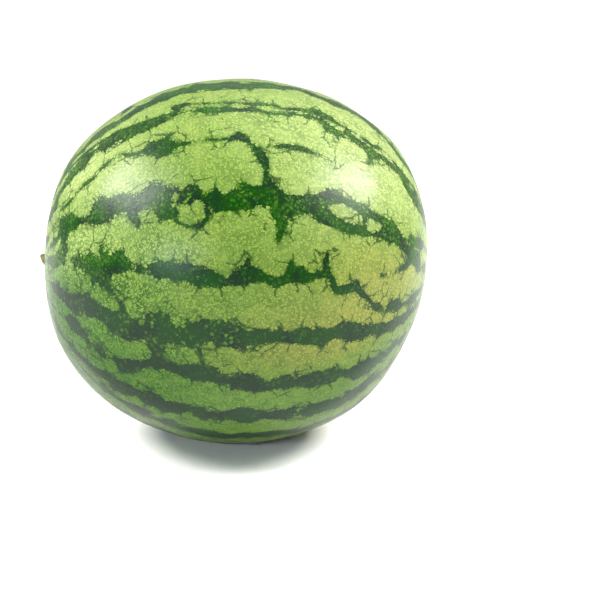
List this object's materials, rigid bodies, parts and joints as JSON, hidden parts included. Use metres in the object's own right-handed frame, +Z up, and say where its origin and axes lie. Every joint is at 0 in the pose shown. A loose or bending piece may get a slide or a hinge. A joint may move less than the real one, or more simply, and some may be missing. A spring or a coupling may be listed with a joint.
{
  "type": "watermelon",
  "caption": "Whole striped watermelon lying on its side on a small flat spot, blunt-ended and almost round, with a dry stalk stub in a shallow dimple.",
  "frame": {"origin": "on the surface that the fruit rests on, under the middle of its box", "axes": "+X along the fruit from the stem end to the blossom end, +Z up, +Y to complete a right-handed frame"},
  "size_m": [0.2518, 0.237, 0.2352],
  "materials": {
    "rind": null,
    "dried_stalk": "dry, matt, fibrous brown stalk"
  },
  "bodies": {
    "root": {"fruit": "rind", "stem": "dried_stalk"}
  },
  "joints": []
}
